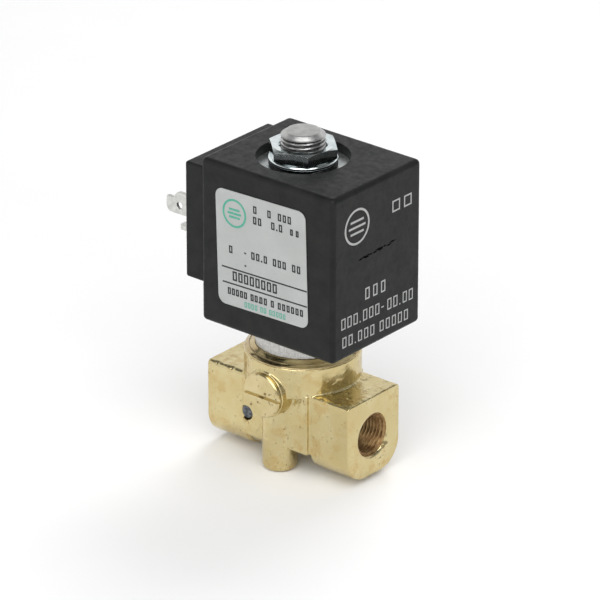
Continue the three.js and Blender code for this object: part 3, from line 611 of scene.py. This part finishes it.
STUD_MAJOR_RADIUS = 4.92
STUD_MINOR_RADIUS = 4.30
STUD_PITCH = 1.0
STUD_THREAD_START = 69.7
STUD_THREAD_END = 77.0
STUD_TOP = 77.90
GROOVE_RADIUS = 4.72
GROOVE_LOWEST = 70.0
GROOVE_HIGHEST = 77.1


def threaded_core():
    """The fixed core and its stud: the M10 thread is a true helix, with painted shade in its grooves."""
    profile = [
        (0.01, 53.0), (2.2, 53.0), (2.2, 48.0), (2.95, 48.0), (2.95, 49.1), (3.65, 49.1), (3.65, 48.0),
        (4.45, 48.0), (4.45, 58.05), (4.98, 58.05), (4.98, 69.4), (4.92, 69.6),
    ]
    rings = [plain_ring(radius, height) for radius, height in profile]
    rings += thread_rings(
        STUD_MAJOR_RADIUS, STUD_MINOR_RADIUS, STUD_PITCH, STUD_THREAD_START, STUD_THREAD_END, 0.15
    )
    crown = [
        (4.60, 77.16), (4.52, 77.26), (3.86, 77.80), (3.80, 77.85), (3.70, 77.88), (3.50, STUD_TOP),
        (0.4, STUD_TOP),
    ]
    rings += [plain_ring(radius, height) for radius, height in crown]
    mesh = revolved("fixed_core_threaded", rings, 96)
    smooth_shading(mesh, 38.0)
    core = add_piece("fixed_core_threaded", mesh, STEM_STEEL, "valve")
    # Faces in the thread grooves take the darker steel: painted shade.
    mesh.materials.append(GROOVE_SHADE_STEEL)
    for face in mesh.polygons:
        centre = face.center / MM
        in_groove = math.hypot(centre.x, centre.y) < GROOVE_RADIUS
        face.material_index = 1 if in_groove and GROOVE_LOWEST < centre.z < GROOVE_HIGHEST else 0
    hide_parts("fixed_core")


def closing_spring():
    """The spring hangs from the core: shown as a piece of its own, riding on the valve body."""
    spring = add_piece(
        "plunger_spring_coil", node_mesh("plunger_spring"), SPRING_STEEL, "valve"
    )
    smooth_shading(spring.data)
    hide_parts("plunger_spring")
    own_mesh(spring)


threaded_core()
closing_spring()
rounded_node("coil_nut", "valve", ZINC_PLATE, 0.07, 1, 15.0)
rounded_node("guide_collar", "valve", COLLAR_STEEL, 0.10)


# ---- Label and prints -----------------------------------------------------------------------------

STROKE = 0.33
LETTER = 1.75
INK_THICKNESS = 0.03
RUB_THICKNESS = 0.02


class Print:
    """Thin raised ink on a flat face, drawn in the face's own two directions, in mm."""

    def __init__(self, origin, across, up, thickness_mm):
        self.shell = bmesh.new()
        self.origin = Vector(origin) * MM
        self.across = Vector(across).normalized()
        self.up = Vector(up).normalized()
        self.out = self.across.cross(self.up) * thickness_mm * MM

    def quad(self, corners):
        """One closed slab on four corners."""
        low = [self.shell.verts.new(self.origin + (self.across * u + self.up * v) * MM) for u, v in corners]
        high = [self.shell.verts.new(vert.co + self.out) for vert in low]
        self.shell.faces.new(high)
        self.shell.faces.new(tuple(reversed(low)))
        for index in range(4):
            after = (index + 1) % 4
            self.shell.faces.new((low[index], low[after], high[after], high[index]))

    def bar(self, u0, u1, v0, v1):
        """One straight stroke."""
        self.quad([(u0, v0), (u1, v0), (u1, v1), (u0, v1)])

    def frame(self, u0, u1, v0, v1, stroke):
        """An empty rectangle drawn with four strokes."""
        self.bar(u0, u1, v0, v0 + stroke)
        self.bar(u0, u1, v1 - stroke, v1)
        self.bar(u0, u0 + stroke, v0 + stroke, v1 - stroke)
        self.bar(u1 - stroke, u1, v0 + stroke, v1 - stroke)

    def row(self, u, v, height, pattern, slope=0.0, stroke=STROKE, pitch=0.78):
        """A row of blank placeholder boxes: '#' is a box, '-' a dash, '.' a dot and ' ' a space."""
        width = 0.54 * height
        for mark in pattern:
            if mark == "#":
                self.frame(u, u + width, v, v + height, stroke)
            if mark == "-":
                self.bar(u, u + width * 0.6, v + height * 0.45, v + height * 0.45 + stroke)
            if mark == ".":
                self.bar(u, u + stroke * 1.2, v, v + stroke * 1.2)
            step = height * (pitch if mark in "#-" else 0.45)
            u += step
            v += step * slope
        return u

    def hoop(self, centre, inner, outer, steps):
        """A full circle of short slabs."""
        for index in range(steps):
            angles = [math.tau * index / steps, math.tau * (index + 1) / steps]
            corners = [
                (centre[0] + radius * math.cos(angle), centre[1] + radius * math.sin(angle))
                for radius, angle in (
                    (inner, angles[0]), (outer, angles[0]), (outer, angles[1]), (inner, angles[1]),
                )
            ]
            self.quad(corners)

    def piece(self, name, material, body, slot):
        """The finished print as a piece of its own."""
        bmesh.ops.recalc_face_normals(self.shell, faces=self.shell.faces)
        mesh = bpy.data.meshes.new(name)
        self.shell.to_mesh(mesh)
        self.shell.free()
        return add_piece(name, mesh, material, body)


LABEL_TILT = math.radians(1.7)


def label_print():
    """An empty print on the label's face, whose directions follow the label's tilt."""
    low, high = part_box("coil_label")
    centre = (low + high) / 2 / MM
    across = (math.cos(LABEL_TILT), 0, math.sin(LABEL_TILT))
    up = (-math.sin(LABEL_TILT), 0, math.cos(LABEL_TILT))
    return Print((centre.x, low.y / MM, centre.z), across, up, INK_THICKNESS)


def label_prints():
    """Rows of blank boxes in place of lettering, two rules, and a plain roundel, placed from the middle."""
    black = label_print()
    black.row(-2.0, 9.9, LETTER, "#")
    black.row(2.0, 9.9, LETTER, "#  ###")
    black.row(-2.1, 7.4, LETTER, "##")
    black.row(3.0, 7.4, LETTER, "#.#")
    black.row(8.3, 7.4, 1.45, "##", pitch=1.1)
    black.row(-9.2, -1.1, LETTER, "#")
    black.row(-4.9, -1.1, LETTER, "-")
    black.row(-2.9, -1.1, LETTER, "##.#")
    black.row(3.2, -1.1, LETTER, "###")
    black.row(8.6, -1.1, LETTER, "##")
    black.row(-4.9, -4.0, 1.6, "-")
    black.bar(-11.4, 12.6, -4.90, -4.56)
    black.row(-8.4, -7.5, 2.25, "########", stroke=0.38, pitch=0.72)
    black.bar(-11.3, 12.6, -8.50, -8.17)
    black.row(-9.9, -11.0, 1.6, "##### ##.", pitch=0.72)
    black.row(-0.9, -11.0, 1.6, "## # ######", pitch=0.78)
    black.piece("label_text_rows", BLACK_INK, "coil_assembly", "label_film")
    green = label_print()
    green.hoop((-7.4, 8.5), 2.85, 3.35, 40)
    green.bar(-8.9, -5.9, 9.1, 9.6)
    green.bar(-9.3, -5.5, 8.2, 8.7)
    green.bar(-8.9, -5.9, 7.3, 7.8)
    green.row(-5.2, -13.0, 1.25, "#### ## #####", stroke=0.2)
    green.piece("label_green_marks", GREEN_INK, "coil_assembly", "label_film")


RUB_STROKES = 12


def side_prints():
    """The prints and the rub mark on the coil's outlet side, placed by Y and by height."""
    face_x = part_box("coil_housing")[1].x / MM
    grey = Print((face_x, 0, 0), (0, 1, 0), (0, 0, 1), INK_THICKNESS)
    slope = -0.04
    grey.hoop((-7.0, 63.4), 3.7, 4.2, 44)
    grey.bar(-9.2, -4.8, 64.5, 65.0)
    grey.bar(-9.8, -4.2, 63.1, 63.6)
    grey.bar(-9.2, -4.8, 61.7, 62.2)
    grey.frame(5.0, 7.6, 62.6, 65.3, 0.35)
    grey.frame(9.0, 11.6, 62.5, 65.2, 0.35)
    grey.row(-4.1, 45.1, 2.75, "###", slope, stroke=0.32, pitch=0.98)
    grey.row(-12.2, 40.6, 2.6, "###.###-##.##", slope, stroke=0.28, pitch=0.80)
    grey.row(-11.8, 36.2, 2.5, "##.### #####", slope, stroke=0.28, pitch=0.84)
    grey.piece("coil_side_marks", GREY_INK, "coil_assembly", "coil_plastic")
    rub = Print((face_x, 0, 0), (0, 1, 0), (0, 0, 1), RUB_THICKNESS)
    for stroke in range(RUB_STROKES):
        along = -6.6 + 0.95 * stroke
        height = 55.25 + 0.035 * stroke + 0.20 * math.sin(2.4 * stroke)
        length = 1.7 + 0.8 * math.sin(1.3 * stroke)
        rub.quad([
            (along, height), (along + 0.5 * length, height - 0.20), (along + length, height + 0.05),
            (along + 0.5 * length, height + 0.24),
        ])
    rub.piece("coil_side_rub", RUB_MARK, "coil_assembly", "coil_plastic")


label_prints()
side_prints()


# ---- CAD nodes that keep their shape ----------------------------------------------------------------

# Nodes whose edges are rounded: the body each rides on, its slot, its finish and the rounding in mm.
ROUNDED = {
    "flat_washer": ("valve", "zinc_plate", ZINC_PLATE, 0.05),
    "wave_washer": ("valve", "spring_steel", SPRING_STEEL, 0.08),
    "override_screw": ("override_group", "override_brass", TURNED_BRASS, 0.14),
    "passage_plug": ("valve", "plug_steel", PLUG_STEEL, 0.12),
    "line_terminal_front": ("coil_assembly", "tinned_contact", TINNED_BRASS, 0.10),
    "line_terminal_rear": ("coil_assembly", "tinned_contact", TINNED_BRASS, 0.10),
    "ground_terminal": ("coil_assembly", "tinned_contact", TINNED_BRASS, 0.10),
    "connector_insert": ("coil_assembly", "insert_brass", TURNED_BRASS, 0.10),
    "coil_housing": ("coil_assembly", "coil_plastic", COIL_PLASTIC, 0.22),
}

# Nodes that are shown as they are, most of them inside the valve.
KEPT = {
    "body_o_ring": SEAL_RUBBER,
    "armature_tube": STEM_STEEL,
    "shading_ring": COPPER_WIRE,
    "plunger": STEM_STEEL,
    "plunger_seal": SEAL_RUBBER,
    "coil_bobbin": BOBBIN_PLASTIC,
    "coil_winding": COPPER_WIRE,
    "yoke_frame": SATIN_ZINC,
    "coil_label": LABEL_FILM,
    "override_o_ring": SEAL_RUBBER,
    "override_clip": SPRING_STEEL,
}

for node, (body, slot, material, width) in ROUNDED.items():
    rounded_node(node, body, material, width)

for node, material in KEPT.items():
    kept = NODES[node]
    kept.data.materials.clear()
    kept.data.materials.append(material)
    smooth_shading(kept.data)


# ---- Floor, light and camera ------------------------------------------------------------------------


FLOOR_HALF_WIDTH = 6.0


def floor():
    """A wide flat floor in the plane of the feet."""
    shell = bmesh.new()
    bmesh.ops.create_grid(shell, x_segments=12, y_segments=12, size=FLOOR_HALF_WIDTH)
    mesh = bpy.data.meshes.new("floor")
    shell.to_mesh(mesh)
    shell.free()
    mesh.materials.append(studio_floor())
    plane = bpy.data.objects.new("floor", mesh)
    bpy.context.scene.collection.objects.link(plane)


def soft_light(name, place, target, size, power, seen_in_metal=True):
    """A square lamp aimed at the target. One that isn't seen in metal lights it without a glint."""
    lamp = bpy.data.lights.new(name, "AREA")
    lamp.shape = "SQUARE"
    lamp.size = size
    lamp.energy = power
    light = bpy.data.objects.new(name, lamp)
    bpy.context.scene.collection.objects.link(light)
    light.location = place
    light.visible_glossy = seen_in_metal
    aim = Vector(target) - Vector(place)
    light.rotation_euler = aim.to_track_quat("-Z", "Y").to_euler()


WALL_LIGHT = 1.0
CEILING_LIGHT = 0.15
DARK_SIDE_SHARE = 0.40
VALVE_FOOT = (0, 0, 0.02)
BEHIND_VALVE = (0, 0.1, 0)


def surroundings():
    """A white room: its walls are brighter than its ceiling, and its wall on the outlet's side is dim."""
    world = bpy.data.worlds.new("studio")
    bpy.context.scene.world = world
    world.use_nodes = True
    tree = world.node_tree
    backdrop = tree.nodes["Background"]
    backdrop.inputs["Color"].default_value = (1.0, 1.0, 1.0, 1.0)
    direction = tree.nodes.new("ShaderNodeTexCoord").outputs["Generated"]
    split = tree.nodes.new("ShaderNodeSeparateXYZ")
    tree.links.new(direction, split.inputs[0])

    def fade(axis, start, end, low, high):
        node = tree.nodes.new("ShaderNodeMapRange")
        node.interpolation_type = "SMOOTHSTEP"
        tree.links.new(split.outputs[axis], node.inputs["Value"])
        for name, value in (("From Min", start), ("From Max", end), ("To Min", low), ("To Max", high)):
            node.inputs[name].default_value = value
        return node.outputs["Result"]

    strength = tree.nodes.new("ShaderNodeMath")
    strength.operation = "MULTIPLY"
    tree.links.new(fade("Z", 0.48, 0.72, WALL_LIGHT, CEILING_LIGHT), strength.inputs[0])
    tree.links.new(fade("X", 0.10, 0.70, 1.0, DARK_SIDE_SHARE), strength.inputs[1])
    tree.links.new(strength.outputs["Value"], backdrop.inputs["Strength"])


CAMERA_PLACE = Vector((0.68983, -0.82898, 0.53498))
CAMERA_AZIMUTH = math.radians(39.801)
CAMERA_ELEVATION = math.radians(24.765)
CAMERA_ROLL = math.radians(0.055)
CAMERA_LENS = 325.16


def camera():
    """A long lens at the reference view's angle."""
    data = bpy.data.cameras.new("camera")
    data.lens = CAMERA_LENS
    data.sensor_width = 36.0
    data.clip_start = 0.05
    data.clip_end = 20.0
    view = bpy.data.objects.new("camera", data)
    bpy.context.scene.collection.objects.link(view)
    turn = Matrix.Rotation(CAMERA_AZIMUTH, 4, "Z")
    tilt = Matrix.Rotation(math.pi / 2 - CAMERA_ELEVATION, 4, "X")
    roll = Matrix.Rotation(CAMERA_ROLL, 4, "Z")
    view.matrix_world = Matrix.Translation(CAMERA_PLACE) @ turn @ tilt @ roll
    bpy.context.scene.camera = view


floor()
surroundings()
camera()
soft_light("overhead", (0.42, -0.48, 0.80), VALVE_FOOT, 1.2, 10.2)
soft_light("back_fill", (-0.20, 0.70, 0.80), BEHIND_VALVE, 0.5, 4.0, seen_in_metal=False)
bpy.context.scene.view_settings.view_transform = "Standard"
